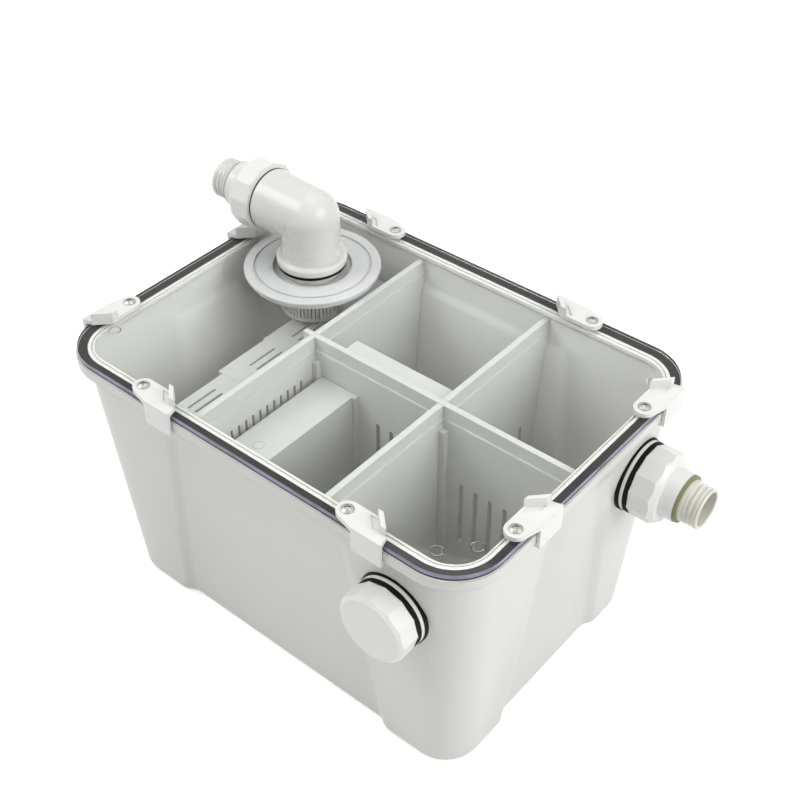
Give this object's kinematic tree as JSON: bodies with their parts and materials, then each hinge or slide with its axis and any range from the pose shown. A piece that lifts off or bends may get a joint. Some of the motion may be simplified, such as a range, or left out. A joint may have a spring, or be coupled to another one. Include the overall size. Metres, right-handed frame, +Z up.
{
  "type": "plaster trap",
  "caption": "Plastic tub with a clear clipped lid, an inlet elbow over a strainer, crossing partitions and baffles inside, an outlet union and a capped drain.",
  "frame": {"origin": "centre of the tub's foot, on the surface it stands on", "axes": "+Z up, +X along the long side towards the outlet, -Y towards the drain plug"},
  "size_m": [0.4828, 0.322, 0.3225],
  "materials": {
    "tub_plastic": "satin",
    "clear_plastic": "clear gloss",
    "seal_rubber": "matte",
    "black_rubber": "matte",
    "olive_rubber": "matte",
    "inner_plastic": "satin",
    "clip_plastic": "gloss",
    "fitting_plastic": "gloss",
    "tail_plastic": "gloss",
    "screw_steel": "polished"
  },
  "bodies": {
    "trap": {"tub": "tub_plastic", "rim_gasket": "seal_rubber", "lid": "clear_plastic", "clip_screws": "screw_steel", "divider_left": "inner_plastic", "divider_long": "inner_plastic", "divider_right": "inner_plastic", "inlet_baffle": "inner_plastic", "mid_baffle": "inner_plastic", "shelf_front": "inner_plastic", "shelf_rear": "inner_plastic", "strainer_holder": "inner_plastic", "strainer_basket": "inner_plastic", "elbow_gasket": "black_rubber", "outlet_barrel": "fitting_plastic", "outlet_gasket": "black_rubber", "outlet_washer": "fitting_plastic", "outlet_seal": "black_rubber", "outlet_end_ring": "olive_rubber", "outlet_tail": "tail_plastic", "plug_barrel": "fitting_plastic", "plug_gasket": "black_rubber", "plug_washer": "fitting_plastic", "plug_seal": "black_rubber"},
    "elbow": {"inlet_elbow": "fitting_plastic", "elbow_lock_nut": "fitting_plastic", "inlet_seal": "black_rubber", "inlet_end_ring": "olive_rubber", "inlet_tail": "tail_plastic"},
    "inlet_nut": {"inlet_nut": "fitting_plastic"},
    "outlet_nut": {"outlet_nut": "fitting_plastic"},
    "plug_cap": {"plug_cap": "fitting_plastic"},
    "clip_front_left": {"clip_front_left": "clip_plastic"},
    "clip_front_right": {"clip_front_right": "clip_plastic"},
    "clip_right_front": {"clip_right_front": "clip_plastic"},
    "clip_right_back": {"clip_right_back": "clip_plastic"},
    "clip_back_right": {"clip_back_right": "clip_plastic"},
    "clip_back_left": {"clip_back_left": "clip_plastic"},
    "clip_left_back": {"clip_left_back": "clip_plastic"},
    "clip_left_front": {"clip_left_front": "clip_plastic"}
  },
  "joints": [
    {"name": "clip_front_left_swing", "type": "hinge", "parent": "trap", "child": "clip_front_left", "pos_m": [-0.108, -0.1425, 0.248], "axis": [0, 0, -1], "range_deg": [0, 100]},
    {"name": "clip_front_right_swing", "type": "hinge", "parent": "trap", "child": "clip_front_right", "pos_m": [0.0975, -0.1425, 0.248], "axis": [0, 0, -1], "range_deg": [0, 100]},
    {"name": "clip_right_front_swing", "type": "hinge", "parent": "trap", "child": "clip_right_front", "pos_m": [0.1965, -0.0845, 0.248], "axis": [0, 0, -1], "range_deg": [0, 100]},
    {"name": "clip_right_back_swing", "type": "hinge", "parent": "trap", "child": "clip_right_back", "pos_m": [0.1965, 0.078, 0.248], "axis": [0, 0, -1], "range_deg": [0, 100]},
    {"name": "clip_back_right_swing", "type": "hinge", "parent": "trap", "child": "clip_back_right", "pos_m": [0.108, 0.1425, 0.248], "axis": [0, 0, -1], "range_deg": [0, 100]},
    {"name": "clip_back_left_swing", "type": "hinge", "parent": "trap", "child": "clip_back_left", "pos_m": [-0.0975, 0.1425, 0.248], "axis": [0, 0, -1], "range_deg": [0, 100]},
    {"name": "clip_left_back_swing", "type": "hinge", "parent": "trap", "child": "clip_left_back", "pos_m": [-0.1965, 0.0845, 0.248], "axis": [0, 0, -1], "range_deg": [0, 100]},
    {"name": "clip_left_front_swing", "type": "hinge", "parent": "trap", "child": "clip_left_front", "pos_m": [-0.1965, -0.078, 0.248], "axis": [0, 0, -1], "range_deg": [0, 100]},
    {"name": "elbow_swivel", "type": "hinge", "parent": "trap", "child": "elbow", "pos_m": [-0.1254, 0.0646, 0.248], "axis": [0, 0, 1], "continuous": true},
    {"name": "inlet_nut_turn", "type": "hinge", "parent": "elbow", "child": "inlet_nut", "pos_m": [-0.1854, 0.0646, 0.293], "axis": [-1, 0, 0], "continuous": true},
    {"name": "outlet_nut_turn", "type": "hinge", "parent": "trap", "child": "outlet_nut", "pos_m": [0.21453, 0.0852, 0.178], "axis": [1, 0, 0], "continuous": true},
    {"name": "plug_cap_turn", "type": "hinge", "parent": "trap", "child": "plug_cap", "pos_m": [0.1365, -0.1551, 0.177], "axis": [0, -1, 0], "continuous": true}
  ]
}
